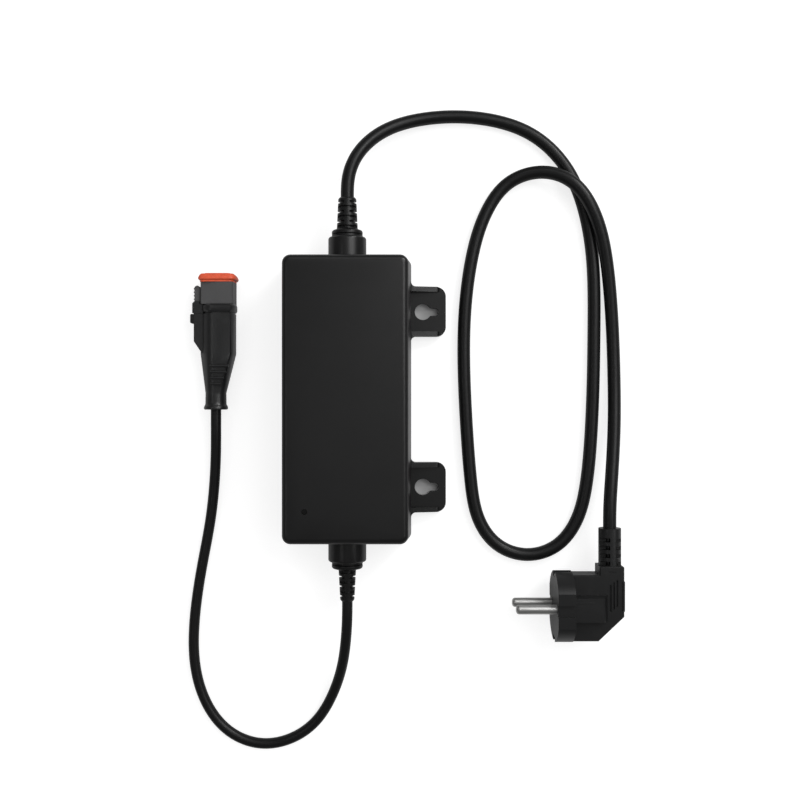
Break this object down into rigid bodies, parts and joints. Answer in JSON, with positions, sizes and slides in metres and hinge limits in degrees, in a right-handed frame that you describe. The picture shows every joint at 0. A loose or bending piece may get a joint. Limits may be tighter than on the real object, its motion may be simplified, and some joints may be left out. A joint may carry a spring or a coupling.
{
  "type": "power supply adapter",
  "caption": "Moulded mains adapter for a robot mower charging station, with keyhole wall tabs, an angled earthed plug on a looped lead and a sealed low-voltage connector.",
  "frame": {"origin": "centre of the housing's back face, on the surface that it lies on", "axes": "+Z out of the front face, +Y along the housing towards the mains lead, +X towards the mounting tabs"},
  "size_m": [0.2267, 0.3347, 0.042],
  "materials": {
    "case_plastic": "fine spark-eroded grain",
    "cover_plastic": "fine grain",
    "cord_jacket": "smooth semi-matt vinyl",
    "soft_bushing": "matt moulded vinyl",
    "plug_vinyl": "semi-matt moulded vinyl",
    "boot_rubber": "matt",
    "grey_nylon": "semi-matt",
    "orange_silicone": "satin",
    "orange_nylon": "satin",
    "pin_nickel": "bright nickel plate",
    "strap_nickel": "dull nickel plate",
    "spring_brass": "plain",
    "gold_contact": "plated",
    "ivory_plastic": "plain",
    "screw_steel": "zinc plated",
    "foam_gasket": "matt",
    "clear_plastic": "clear, polished",
    "lamp_green": "tinted, translucent",
    "board_green": "solder mask",
    "sheet_film": "thin film",
    "fuse_glass": "clear with metal caps",
    "ferrite": "matt ceramic ferrite",
    "copper_wire": "enamelled copper",
    "tape_yellow": "polyester tape",
    "capacitor_yellow": "boxed film capacitor",
    "capacitor_blue": "lacquered ceramic disc",
    "capacitor_sleeve": "shrink sleeve",
    "package_black": "moulded epoxy",
    "sink_aluminium": "plain sheet",
    "bobbin_plastic": "moulded phenolic",
    "core_brown": "insulation",
    "core_blue": "insulation",
    "core_green": "insulation",
    "core_red": "insulation",
    "core_black": "insulation"
  },
  "bodies": {
    "root": {"housing": "case_plastic", "back_cover": "cover_plastic", "cover_gasket": "foam_gasket", "cover_screws": "screw_steel", "light_pipe": "clear_plastic", "status_led": "lamp_green", "circuit_board": "board_green", "board_screws": "screw_steel", "insulating_sheet": "sheet_film", "fuse": "fuse_glass", "fuse_clips": "spring_brass", "filter_choke_core": "ferrite", "filter_choke_winding": "copper_wire", "x_capacitor": "capacitor_yellow", "y_capacitor": "capacitor_blue", "bridge_rectifier": "package_black", "bulk_capacitor": "capacitor_sleeve", "primary_heatsink": "sink_aluminium", "switching_transistor": "package_black", "control_chip": "package_black", "transformer_core": "ferrite", "transformer_bobbin": "bobbin_plastic", "transformer_winding": "tape_yellow", "optocoupler": "package_black", "secondary_heatsink": "sink_aluminium", "output_rectifier": "package_black", "output_capacitor_left": "capacitor_sleeve", "output_capacitor_right": "capacitor_sleeve", "output_choke": "copper_wire", "live_core": "core_brown", "neutral_core": "core_blue", "earth_core": "core_green", "positive_core": "core_red", "negative_core": "core_black", "mains_bushing": "soft_bushing", "mains_cord": "cord_jacket", "plug_body": "plug_vinyl", "pin_carrier": "ivory_plastic", "live_pin": "pin_nickel", "neutral_pin": "pin_nickel", "earth_strap": "strap_nickel", "output_bushing": "soft_bushing", "output_cord": "cord_jacket", "connector_boot": "boot_rubber", "connector_housing": "grey_nylon", "wire_seal": "orange_silicone", "interface_seal": "orange_silicone", "wedge_lock": "orange_nylon", "positive_contact": "gold_contact", "negative_contact": "gold_contact"}
  },
  "joints": []
}
